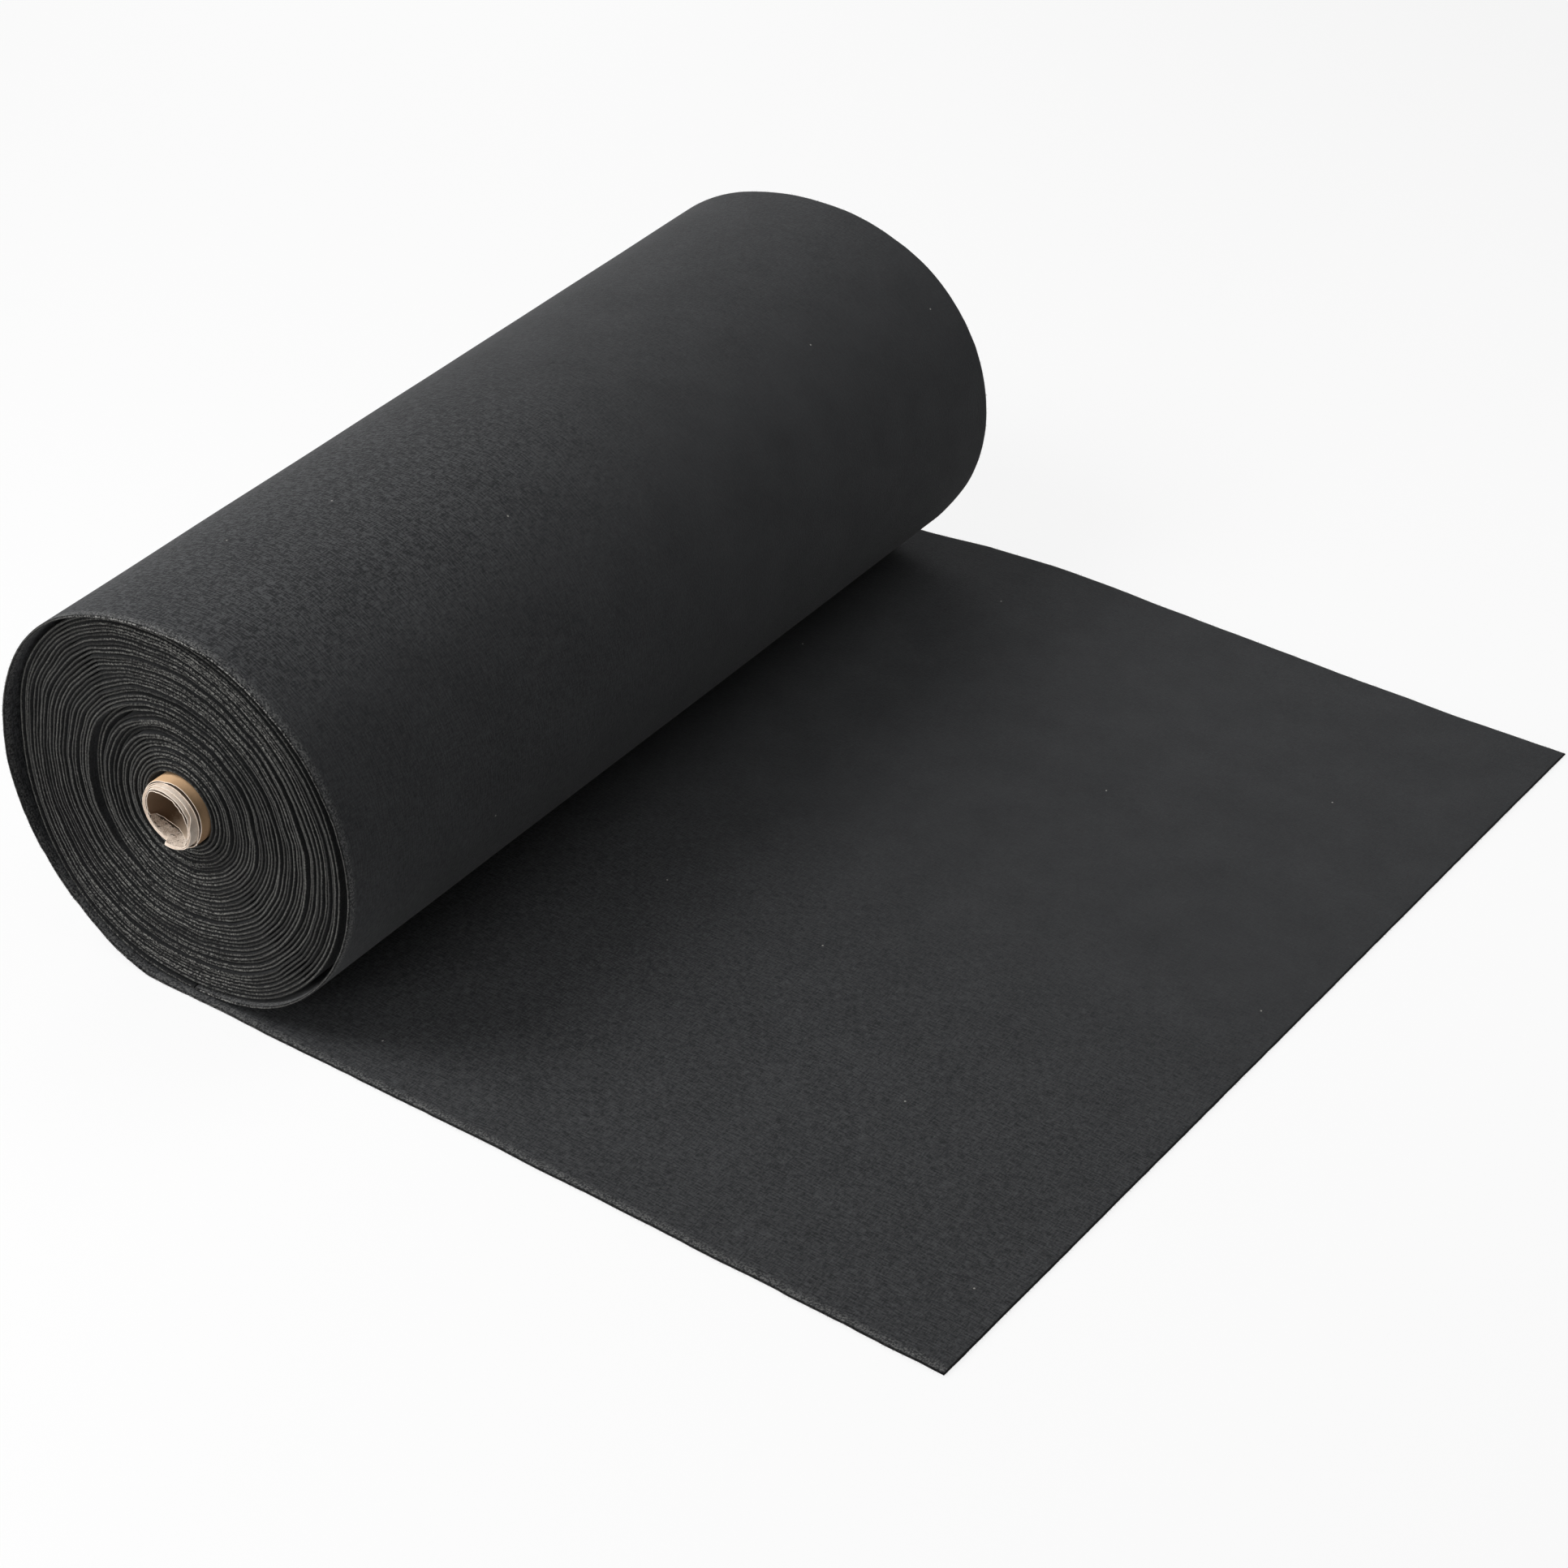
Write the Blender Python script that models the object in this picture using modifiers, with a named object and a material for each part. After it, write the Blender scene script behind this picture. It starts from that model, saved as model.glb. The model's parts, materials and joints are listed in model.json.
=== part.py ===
"""Geotextile roll: a felt web wound on a paper core, with its free end laid out on the ground.

Metres, +Z up. The origin is on the ground, under the roll's axis and at the middle of the web.
+X points along the laid sheet to its free end, +Y along the roll to its far end.
The web is one piece of cloth. It is modelled as the wound roll, the loose outer turn and the laid
sheet, because the roll travels along the sheet and turns as it goes.
"""

import math

import bpy
from mathutils import Vector

COLLECTION = "geotextile_roll"

# Web
WEB_THICKNESS = 0.0024
TOUCHDOWN_WIDTH = 0.998
SEAT_GAP = 0.0003

# Laid sheet, which runs slightly askew to the roll
NEAR_EDGE_LENGTH = 0.763
FAR_EDGE_LENGTH = 0.822
FOOTPRINT_BEHIND_AXIS = 0.040
NEAR_EDGE_DRIFT = 0.0347
FAR_EDGE_DRIFT = 0.0177

# Wound web
WOUND_RADIUS = 0.1755
LOOPS = 24
POINTS_PER_LOOP = 24
LOOP_GAP = 0.0006
WOUND_CLEARANCE = 0.0005
NEAR_RECESS_AT_CORE = 0.0165
NEAR_RECESS_OUTSIDE = 0.008
FAR_RECESS = 0.003
EDGE_WANDER = 0.0016
EDGE_WANDER_LOOPS = 3.4
LOOSE_BAND_SET_BACK = 0.0035
LOOSE_BAND_SHARE = 0.46
LOOSE_BAND_WIDTH_SHARE = 0.05

# Loose outer turn, which bellies out at its far end
TURN_WIDTH = 0.964
TURN_TOP_SLACK = 0.0037
TURN_SIDE_SLACK = 0.0101
TURN_FAR_BELLY = 0.0215
TURN_FAR_LEAN = 0.012
TURN_START_DEGREES = -89.5
TURN_END_DEGREES = 270
TURN_STEPS = 72
EASE_END_DEGREES = -60
WIDENING_START_DEGREES = 150

# Core, of five paper plies
CORE_BORE_RADIUS = 0.0254
PLY_THICKNESS = 0.0010
BODY_PLIES = 3
CORE_NEAR_SET_BACK = 0.002
CORE_FAR_OVERHANG = 0.006
WRAP_SET_BACK = 0.0030
LINER_SET_BACK = 0.0006
CORE_SIDES = 48

# Start tape
TAPE_THICKNESS = 0.0003
TAPE_ARC = 0.045
TAPE_END_MARGIN = 0.020
TAPE_STEPS = 8

# Places that follow from the sizes
NEAR_END = -TOUCHDOWN_WIDTH / 2
FAR_END = TOUCHDOWN_WIDTH / 2
TURN_FAR_END = NEAR_END + TURN_WIDTH
TURN_UNDERSIDE = WEB_THICKNESS + SEAT_GAP
AXIS_HEIGHT = TURN_UNDERSIDE + WEB_THICKNESS + WOUND_CLEARANCE + WOUND_RADIUS
TURN_HALF_HEIGHT = WOUND_RADIUS + WEB_THICKNESS + (WOUND_CLEARANCE + TURN_TOP_SLACK) / 2
TURN_HALF_WIDTH = WOUND_RADIUS + WEB_THICKNESS + TURN_SIDE_SLACK
PLY_PITCH = PLY_THICKNESS + SEAT_GAP
CORE_RADIUS = CORE_BORE_RADIUS + (BODY_PLIES + 2) * PLY_PITCH - SEAT_GAP
TAPE_DEGREES = math.degrees(TAPE_ARC / CORE_RADIUS)
TAPE_RADIUS = (CORE_RADIUS + SEAT_GAP + TAPE_THICKNESS / 2) / math.cos(
    math.radians(TAPE_DEGREES / TAPE_STEPS / 2)
)
WOUND_INNER_RADIUS = (TAPE_RADIUS + TAPE_THICKNESS / 2 + SEAT_GAP) / math.cos(
    math.pi / POINTS_PER_LOOP
)
LOOP_PITCH = (WOUND_RADIUS - WOUND_INNER_RADIUS + LOOP_GAP) / (LOOPS + 1)
WOUND_THICKNESS = LOOP_PITCH - LOOP_GAP


def clear_scene():
    for obj in list(bpy.data.objects):
        bpy.data.objects.remove(obj, do_unlink=True)


def collection_named(name):
    collection = bpy.data.collections.new(name)
    bpy.context.scene.collection.children.link(collection)
    return collection


def material_named(name, colour, roughness):
    """A Principled BSDF in one flat colour, for felt or paper."""
    material = bpy.data.materials.new(name)
    material.use_nodes = True
    shader = material.node_tree.nodes["Principled BSDF"]
    shader.inputs["Base Color"].default_value = (*colour, 1)
    shader.inputs["Roughness"].default_value = roughness
    shader.inputs["Metallic"].default_value = 0
    return material


def empty_named(name, collection, location, parent=None):
    empty = bpy.data.objects.new(name, None)
    collection.objects.link(empty)
    empty.parent = parent
    empty.location = location
    return empty


def object_of(name, points, edges, faces, material, collection, parent):
    mesh = bpy.data.meshes.new(name)
    mesh.from_pydata(points, edges, faces)
    mesh.materials.append(material)
    obj = bpy.data.objects.new(name, mesh)
    collection.objects.link(obj)
    obj.parent = parent
    return obj


def smooth(obj):
    """Shades the cloth smooth, with its cut edges left sharp."""
    obj.data.shade_smooth()
    obj.data.set_sharp_from_angle(angle=math.radians(40))


def web_strip(name, near_edge, far_edge, thickness, material, collection, parent):
    """A web stretched between its near and its far edge, two rows of as many points each."""
    points = []
    for near, far in zip(near_edge, far_edge):
        points += [near, far]
    faces = []
    for i in range(len(near_edge) - 1):
        a = 2 * i
        faces.append((a, a + 1, a + 3, a + 2))
    strip = object_of(name, points, [], faces, material, collection, parent)
    wall = strip.modifiers.new("web_thickness", "SOLIDIFY")
    wall.thickness = thickness
    wall.offset = 0
    wall.use_even_offset = True
    smooth(strip)
    return strip


def smoothstep(share):
    share = min(max(share, 0), 1)
    return share * share * (3 - 2 * share)


def point_at(radius, degrees):
    angle = math.radians(degrees)
    return radius * math.cos(angle), radius * math.sin(angle)


def laid_sheet(material, collection):
    """The flat sheet, from just behind the roll's footprint to its cut free end."""
    middle = WEB_THICKNESS / 2
    points = [
        (-FOOTPRINT_BEHIND_AXIS, NEAR_END, middle),
        (NEAR_EDGE_LENGTH, NEAR_END - NEAR_EDGE_DRIFT, middle),
        (FAR_EDGE_LENGTH, FAR_END - FAR_EDGE_DRIFT, middle),
        (-FOOTPRINT_BEHIND_AXIS, FAR_END, middle),
    ]
    sheet = object_of("laid_sheet", points, [], [(0, 1, 2, 3)], material, collection, None)
    wall = sheet.modifiers.new("web_thickness", "SOLIDIFY")
    wall.thickness = WEB_THICKNESS
    wall.offset = 0
    return sheet


def outer_turn_edges():
    """Edges of the loose turn's middle surface, from under the roll up and over it and back down.

    The near edge starts where the wound web's last loop ends, and eases out from it. The far edge
    follows a wider path that leans back, and widens as the web nears the ground.
    """
    half_height = TURN_HALF_HEIGHT - WEB_THICKNESS / 2
    near_half_width = TURN_HALF_WIDTH - WEB_THICKNESS / 2
    far_half_width = near_half_width + TURN_FAR_BELLY
    near_edge, far_edge = [], []
    for i in range(TURN_STEPS + 1):
        sweep = TURN_END_DEGREES - TURN_START_DEGREES
        degrees = TURN_START_DEGREES + sweep * i / TURN_STEPS
        x, z = point_at(1, degrees)
        height = TURN_UNDERSIDE + TURN_HALF_HEIGHT + half_height * z
        widening = TURN_END_DEGREES - WIDENING_START_DEGREES
        share = smoothstep((degrees - WIDENING_START_DEGREES) / widening)
        far_y = TURN_FAR_END + (FAR_END - TURN_FAR_END) * share
        easing = EASE_END_DEGREES - TURN_START_DEGREES
        held_back = 1 - smoothstep((degrees - TURN_START_DEGREES) / easing)
        near_y = NEAR_END + NEAR_RECESS_OUTSIDE * held_back
        near_edge.append((near_half_width * x, near_y, height))
        far_edge.append((far_half_width * x - TURN_FAR_LEAN, far_y, height))
    return near_edge, far_edge


def outer_turn(material, collection, travel):
    near_edge, far_edge = outer_turn_edges()
    return web_strip(
        "outer_turn", near_edge, far_edge, WEB_THICKNESS, material, collection, travel
    )


def wound_path():
    """Points along the middle of the wound web, from the core outwards, about the roll's axis."""
    first = WOUND_INNER_RADIUS + WOUND_THICKNESS / 2
    path = []
    for i in range(LOOPS * POINTS_PER_LOOP + 1):
        loop = i / POINTS_PER_LOOP
        path.append(point_at(first + loop * LOOP_PITCH, TURN_START_DEGREES + loop * 360))
    return path


def wound_edges(path):
    """Near and far edges of the wound web, whose loops stand a few millimetres uneven."""
    near_edge, far_edge = [], []
    for i, (x, z) in enumerate(path):
        loop = i / POINTS_PER_LOOP
        share = loop / LOOPS
        recess = NEAR_RECESS_AT_CORE + (NEAR_RECESS_OUTSIDE - NEAR_RECESS_AT_CORE) * share
        wander = EDGE_WANDER * math.sin(math.tau * loop / EDGE_WANDER_LOOPS)
        away = (share - LOOSE_BAND_SHARE) / LOOSE_BAND_WIDTH_SHARE
        band = LOOSE_BAND_SET_BACK * math.exp(-away * away)
        near_edge.append((x, NEAR_END + recess + wander + band, z))
        far_edge.append((x, TURN_FAR_END - FAR_RECESS + wander - EDGE_WANDER, z))
    return near_edge, far_edge


def least_gap(path, thickness):
    """The smallest distance between neighbouring loops of a strip, measured on its points."""
    least = math.inf
    for i in range(len(path) - POINTS_PER_LOOP - 1):
        inner = Vector(path[i])
        for j in (i + POINTS_PER_LOOP - 1, i + POINTS_PER_LOOP):
            start, end = Vector(path[j]), Vector(path[j + 1])
            run = end - start
            share = min(max((inner - start).dot(run) / run.length_squared, 0), 1)
            least = min(least, (inner - start - run * share).length)
    return least - thickness


def wound_web(material, collection, spin):
    path = wound_path()
    near_edge, far_edge = wound_edges(path)
    gap = least_gap(path, WOUND_THICKNESS)
    print(f"wound web: {LOOPS} loops, least gap to itself {gap * 1000:.3f} mm")
    return web_strip(
        "wound_web", near_edge, far_edge, WOUND_THICKNESS, material, collection, spin
    )


def tube(name, inner_radius, near, far, material, collection, spin):
    """One ply of the core: a rectangle turned about the roll's axis."""
    outer_radius = inner_radius + PLY_THICKNESS
    profile = [
        (outer_radius, 0, far),
        (outer_radius, 0, near),
        (inner_radius, 0, near),
        (inner_radius, 0, far),
    ]
    edges = [(0, 1), (1, 2), (2, 3), (3, 0)]
    ply = object_of(name, profile, edges, [], material, collection, spin)
    ply.rotation_euler.x = math.radians(-90)
    turn = ply.modifiers.new("turned", "SCREW")
    turn.steps = turn.render_steps = CORE_SIDES
    turn.use_smooth_shade = False
    turn.use_merge_vertices = False
    return ply


def core_plies(body_material, wrap_material, collection, spin):
    """Liner, body plies and outer wrap. The wrap ends short of the cut end of the plies inside."""
    near = NEAR_END + CORE_NEAR_SET_BACK
    far = TURN_FAR_END + CORE_FAR_OVERHANG
    radius = CORE_BORE_RADIUS
    tube("core_liner_ply", radius, near + LINER_SET_BACK, far, body_material, collection, spin)
    for number in range(1, BODY_PLIES + 1):
        radius += PLY_PITCH
        name = f"core_body_ply_{number}"
        tube(name, radius, near, far, body_material, collection, spin)
    radius += PLY_PITCH
    tube("core_wrap_ply", radius, near + WRAP_SET_BACK, far, wrap_material, collection, spin)


def start_tape(material, collection, spin):
    """The tape that holds the first turn of the web to the core."""
    near = NEAR_END + NEAR_RECESS_AT_CORE + TAPE_END_MARGIN
    far = TURN_FAR_END - TAPE_END_MARGIN
    near_edge, far_edge = [], []
    for i in range(TAPE_STEPS + 1):
        x, z = point_at(TAPE_RADIUS, TURN_START_DEGREES + TAPE_DEGREES * i / TAPE_STEPS)
        near_edge.append((x, near, z))
        far_edge.append((x, far, z))
    return web_strip(
        "start_tape", near_edge, far_edge, TAPE_THICKNESS, material, collection, spin
    )


def main():
    clear_scene()
    collection = collection_named(COLLECTION)
    felt = material_named("black_felt", (0.026, 0.028, 0.031), 0.95)
    paper = material_named("core_paper", (0.62, 0.50, 0.40), 0.85)
    kraft = material_named("kraft_wrap", (0.52, 0.34, 0.19), 0.6)
    tape = material_named("tape", (0.55, 0.47, 0.32), 0.4)

    travel = empty_named("roll_travel", collection, (0, 0, 0))
    spin = empty_named("roll_spin", collection, (0, 0, AXIS_HEIGHT), travel)

    laid_sheet(felt, collection)
    outer_turn(felt, collection, travel)
    wound_web(felt, collection, spin)
    core_plies(paper, kraft, collection, spin)
    start_tape(tape, collection, spin)


main()
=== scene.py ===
"""Looks of a geotextile roll: black felt on a paper core, with its free end laid out.

Metres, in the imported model's frame. The ground is Z = 0, the roll's axis runs along +Y from its
near end to its far end, and the sheet runs along +X to its cut free end. Angles about the axis
are measured from +X towards +Z. The web is one cloth, which winds out from the core, becomes the
loose outer turn and then the sheet on the ground. Its points carry two attributes: "web", the
metres along and across the cloth, and "rim", which is 1 on a cut edge.
"""

from __future__ import annotations

import json
import logging
import math
from dataclasses import dataclass
from enum import Enum
from typing import Any, Callable, Iterable, Union

import bpy
import numpy as np
from mathutils import Matrix, Vector, noise

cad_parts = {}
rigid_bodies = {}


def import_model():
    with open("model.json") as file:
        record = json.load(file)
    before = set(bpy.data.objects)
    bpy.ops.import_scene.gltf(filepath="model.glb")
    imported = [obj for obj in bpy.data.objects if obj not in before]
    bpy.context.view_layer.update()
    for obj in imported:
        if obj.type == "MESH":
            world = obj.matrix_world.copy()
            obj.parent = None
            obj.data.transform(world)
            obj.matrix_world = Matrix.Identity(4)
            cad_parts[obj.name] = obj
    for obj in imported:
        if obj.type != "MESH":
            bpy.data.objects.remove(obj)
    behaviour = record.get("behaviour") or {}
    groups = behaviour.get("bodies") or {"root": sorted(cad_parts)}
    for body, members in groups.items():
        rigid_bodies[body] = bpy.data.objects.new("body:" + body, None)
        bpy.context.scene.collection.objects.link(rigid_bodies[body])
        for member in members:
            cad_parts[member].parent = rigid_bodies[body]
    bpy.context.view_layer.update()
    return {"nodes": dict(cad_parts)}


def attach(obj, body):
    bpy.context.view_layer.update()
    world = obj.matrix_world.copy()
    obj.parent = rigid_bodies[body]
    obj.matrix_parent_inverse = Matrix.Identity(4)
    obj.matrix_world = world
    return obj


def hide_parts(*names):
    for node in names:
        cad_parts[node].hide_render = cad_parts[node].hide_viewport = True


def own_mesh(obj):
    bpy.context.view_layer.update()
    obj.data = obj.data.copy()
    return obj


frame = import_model()

LOG = logging.getLogger("geotextile_roll")

AXIS_HEIGHT = 0.1811
WEB_THICKNESS = 0.0024
TURN_LENGTH = 1.19
FAR_LEAN = 0.012
NEAR_SPREAD = 0.0034
LIP_STEPS = (0.0014, 0.0036)
LIP_SHARE = 0.3
EDGE_THINNING = 0.78
EDGE_RIM = 0.55
FRAY_SPACING = 0.004
WAVER_DEPTH, WAVER_SPACING = 0.0009, 0.055
NICK_DEPTH, NICK_SPACING = 0.0004, 0.013
NEAR_SEED, FAR_SEED = 2.0, 8.0

Colour = tuple[float, float, float]
Place = tuple[float, float, float]
Number = Union["Value", float]
Table = tuple[tuple[float, float], ...]
Span = tuple[float, ...]
Sizes = dict[str, Union[float, int]]
Socket = bpy.types.NodeSocket
Finish = bpy.types.Material
Piece = bpy.types.Object
Tree = bpy.types.NodeTree


class Body(str, Enum):
    """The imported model's bodies."""

    SHEET = "laid_web"
    TURN = "loose_turn"
    ROLL = "wound_roll"


class Slot(str, Enum):
    """The record's material slots."""

    FELT = "felt"
    CORE_PAPER = "core_paper"
    KRAFT = "kraft_wrap"


def operator(operation: str, swapped: bool = False) -> Callable[..., "Value"]:
    """Makes a method of Value that adds a Math node.

    Args:
        operation: Blender's name of the operation.
        swapped: Whether the other number comes first.

    Returns:
        The method.
    """

    def method(value: "Value", *others: Number) -> "Value":
        """Applies the operation."""
        operands = (*others, value) if swapped else (value, *others)
        return value.nodes.math(operation, *operands)

    return method


class Value:
    """A number that varies over a surface or along the web, with Python's operators on it."""

    __add__ = __radd__ = operator("ADD")
    __sub__ = operator("SUBTRACT")
    __rsub__ = operator("SUBTRACT", swapped=True)
    __mul__ = __rmul__ = operator("MULTIPLY")
    __truediv__ = operator("DIVIDE")
    sin = operator("SINE")
    cos = operator("COSINE")
    root = operator("SQRT")
    size = operator("ABSOLUTE")
    over = operator("GREATER_THAN")

    def __init__(self, nodes: "Nodes", socket: Socket) -> None:
        """Wraps one output socket."""
        self.nodes = nodes
        self.socket = socket

    def rise(self, start: float, end: float, low: float = 0, high: float = 1) -> "Value":
        """Goes smoothly from low to high as the number goes from start to end.

        Args:
            start: Where the change starts. It may be greater than end.
            end: Where the change ends.
            low: The result at start and before it.
            high: The result at end and beyond it.

        Returns:
            The smoothed value.
        """
        sockets = {0: self, 1: start, 2: end, 3: low, 4: high}
        if start > end:
            sockets = {0: self, 1: end, 2: start, 3: high, 4: low}
        made = self.nodes.node("ShaderNodeMapRange", sockets, interpolation_type="SMOOTHSTEP")
        return Value(self.nodes, made)


class Nodes:
    """Adds nodes to one shader or geometry tree."""

    def __init__(self, tree: Tree) -> None:
        """Keeps the tree that nodes are added to."""
        self.tree = tree

    def node(
        self, kind: str, sockets: dict | None = None, output: int | str = 0, **settings: Any
    ) -> Socket:
        """Adds a node.

        Args:
            kind: Blender's type name of the node.
            sockets: Values or links of its inputs, by name or number.
            output: Which of its outputs is wanted.
            settings: Its properties, which are set before its sockets.

        Returns:
            That output, whose node has the others.
        """
        made = self.tree.nodes.new(kind)
        for name, value in settings.items():
            setattr(made, name, value)
        for key, value in (sockets or {}).items():
            self.feed(made.inputs[key], value)
        return made.outputs[output]

    def feed(self, target: Socket, value: Any) -> None:
        """Links a socket or a Value to an input, or sets the input to a plain value."""
        source = value.socket if isinstance(value, Value) else value
        if isinstance(source, Socket):
            self.tree.links.new(source, target)
        else:
            target.default_value = source

    def math(self, operation: str, *operands: Number) -> Value:
        """One Math node on numbers or Values."""
        sockets = dict(enumerate(operands))
        return Value(self, self.node("ShaderNodeMath", sockets, operation=operation))

    def vector(self, x: Number, y: Number, z: Number) -> Socket:
        """A vector of three numbers or Values."""
        return self.node("ShaderNodeCombineXYZ", {0: x, 1: y, 2: z})

    def split(self, vector: Socket) -> list[Value]:
        """The three numbers of a vector."""
        made = self.node("ShaderNodeSeparateXYZ", {0: vector}).node
        return [Value(self, socket) for socket in made.outputs[:3]]

    def noise(
        self, vector: Socket, scale: float = 1, detail: float = 2, rough: float = 0.5
    ) -> Value:
        """Smooth noise about 0.5, at so many bumps to a unit of the vector."""
        sockets = {"Vector": vector, "Scale": scale, "Detail": detail, "Roughness": rough}
        return Value(self, self.node("ShaderNodeTexNoise", sockets))

    def mix(self, factor: Number, low: Any, high: Any) -> Socket:
        """Mixes two colours."""
        low, high = (
            (*colour, 1) if isinstance(colour, tuple) else colour for colour in (low, high)
        )
        return self.node("ShaderNodeMix", {0: factor, 6: low, 7: high}, output=2, data_type="RGBA")

    def seen_ray(self) -> Value:
        """1 for camera, glossy and transmission rays, which see the white background."""
        path = self.node("ShaderNodeLightPath").node.outputs
        camera, glossy, clear = (
            Value(self, path[f"Is {kind} Ray"]) for kind in ("Camera", "Glossy", "Transmission")
        )
        return self.math("MAXIMUM", self.math("MAXIMUM", camera, glossy), clear)


class Surface(Nodes):
    """A new material's nodes, which end in its Principled BSDF."""

    def __init__(self, name: str) -> None:
        """Starts the material."""
        self.material = bpy.data.materials.new(name)
        self.material.use_nodes = True
        super().__init__(self.material.node_tree)
        self.shader = self.tree.nodes["Principled BSDF"]

    def place(self) -> Socket:
        """Object coordinates, in metres."""
        return self.node("ShaderNodeTexCoord", output="Object")

    def mesh_value(self, name: str, output: str) -> Socket:
        """The mesh's own attribute."""
        return self.node("ShaderNodeAttribute", output=output, attribute_name=name)

    def bump(self, height: Value, depth: float) -> Socket:
        """A bump of so many metres."""
        return self.node("ShaderNodeBump", {"Height": height, "Distance": depth, "Strength": 1.0})

    def finish(self, inputs: dict[str, Any]) -> Finish:
        """Feeds the shader's inputs, by their names, and returns the material."""
        for name, value in inputs.items():
            self.feed(self.shader.inputs[name], value)
        return self.material


def direction(degrees: float) -> Span:
    """X and Z of the direction at an angle about the axis."""
    return math.cos(math.radians(degrees)), math.sin(math.radians(degrees))


def toward(x: Value, z: Value, way: Span) -> Value:
    """How far a place at x and z stands towards a direction."""
    return x * way[0] + z * way[1]


@dataclass(frozen=True)
class Felt:
    """Black needled felt: streaks along the web, fine fuzz, and pale fibres on its cut edges, with a
    painted highlight on their crests and painted shade in the grooves of the winding.

    The coarse spans say how coarse the surface looks: by metres across the web, then by metres
    along it, down the side of the loose turn and up over its top. Each has the start and the end
    of a change, and the result at each.
    """

    name: str
    dark: Colour = (0.018, 0.0187, 0.0200)
    light: Colour = (0.062, 0.0635, 0.0660)
    cut_dark: Colour = (0.0050, 0.0051, 0.0053)
    # Pale cut fibres, also the colour of the painted highlight on the edge crests.
    pale_fibre_and_highlight: Colour = (0.085, 0.084, 0.080)
    lint: Colour = (0.30, 0.29, 0.27)
    free_end: float = 100.0
    streak_length: float = 0.0095
    streak_width: float = 0.0014
    fuzz: float = 0.0017
    fleck: float = 0.0026
    mottle: float = 0.055
    glow: float = 0.33
    coarse_across: Span = (0.58, 0.22, 0.16, 1.0)
    coarse_down: Span = (1.30, 1.02, 0.42, 1.0)
    coarse_over: Span = (0.42, 0.57, 0.22, 1.0)
    middle_shade: float = 0.365
    streak_contrast: float = 7.5
    fuzz_contrast: float = 2.8
    edge_contrast: float = 0.8
    fleck_contrast: float = 0.5
    mottle_contrast: float = 0.35
    lint_spacing: float = 0.30
    lint_radius: float = 0.0008
    bump_depth: float = 0.0006
    # Direction round the axis of the sector where painted light puts pale speckle on the cut edges, as
    # light falls along the ridges there.
    light_sector_degrees: float = 78.0
    # Share of painted shade on the web's sides near its cut edge, in the grooves between turns.
    groove_shade: float = 0.0
    far_pale: float = 0.0
    dull: float = 0.18
    laid_line: float = 1.0
    edge_fuzz: float = 0.0
    # Strengths of the painted highlight line on the crests and of the speckle in the lit sector.
    crest_highlight: float = 0.46
    lit_speckle: float = 1.75

    def face_colour(
        self, nodes: Surface, web: Socket, streak: Value, fuzz: Value
    ) -> Socket:
        """Colours the felt's faces.

        Args:
            nodes: The material's nodes.
            web: Metres along and across the web.
            streak: The streaks' noise.
            fuzz: The fuzz's noise.

        Returns:
            The colour, with a few specks of lint.
        """
        along, across, _ = nodes.split(web)
        mottle = nodes.noise(web, 1 / self.mottle, 3, 0.55)
        grain = across.rise(*self.coarse_across) * along.rise(*self.coarse_down)
        grain = grain * along.rise(*self.coarse_over)
        shade = self.middle_shade + (streak - 0.5) * grain * self.streak_contrast
        shade = shade + (fuzz - 0.5) * grain * self.fuzz_contrast
        fleck = nodes.noise(web, 1 / self.fleck, 2, 0.6).rise(0.60, 0.74)
        shade = shade + fleck * grain * self.fleck_contrast
        shade = shade + across.rise(0.011, 0.003) * (fuzz - 0.35) * self.edge_contrast
        shade = (shade + (mottle - 0.5) * self.mottle_contrast).rise(-0.15, 1.05)
        colour = nodes.mix(shade, self.dark, self.light)
        cells = nodes.node(
            "ShaderNodeTexVoronoi", {"Vector": web, "Scale": 1 / self.lint_spacing},
            output="Distance", voronoi_dimensions="2D",
        )
        reach = self.lint_radius / self.lint_spacing
        speck = Value(nodes, cells).rise(reach * 1.3, reach * 0.7)
        return nodes.mix(speck, colour, self.lint)

    def cut_colour(
        self, nodes: Surface, web: Socket, colour: Socket
    ) -> Socket:
        """Colours the felt's cut edges: pale fibres and a painted highlight line on the crests at the
        sides of the roll, speckle above it where painted light falls along the ridges, and painted
        shade in the grooves.

        Args:
            nodes: The material's nodes.
            web: Metres along and across the web.
            colour: The faces' colour.

        Returns:
            The colour of faces and cut edges.
        """
        place = nodes.place()
        along, across, _ = nodes.split(web)
        rim = Value(nodes, nodes.mesh_value("rim", "Fac"))
        x, _, z = nodes.split(place)
        z = z - AXIS_HEIGHT
        # Painted light: in the sector about this direction the edges get pale speckle, elsewhere a thin
        # highlight line on the crest, as light falls along or across the ridges.
        facing = toward(x, z, direction(self.light_sector_degrees)) / (x * x + z * z + 1e-6).root()
        speckle = nodes.noise(place, 1.0 / self.fuzz, 3, 0.7).rise(0.44, 0.64)
        light_sector = facing.size().rise(0.66, 0.96, 0.22, 0.88)
        glow = nodes.noise(nodes.vector(along / self.glow, 0.0, 0.0), detail=3)
        glow = glow.rise(0.34, 0.66, self.dull) * along.rise(1.20, 1.0, self.laid_line, 1.0)
        pale = across.rise(0.6, 0.3, self.far_pale, 1.0) * glow
        pale = pale * along.rise(self.free_end, self.free_end - 0.02)
        # Pale fibres with a painted highlight: a thin line on the crest, and speckle in the lit sector.
        crest = rim.rise(0.83, 1.0) * (1 - light_sector) * self.crest_highlight
        crest = crest + rim.rise(0.3, 0.9) * speckle * light_sector * self.lit_speckle
        cut = nodes.mix(pale * crest, self.cut_dark, self.pale_fibre_and_highlight)
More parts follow.
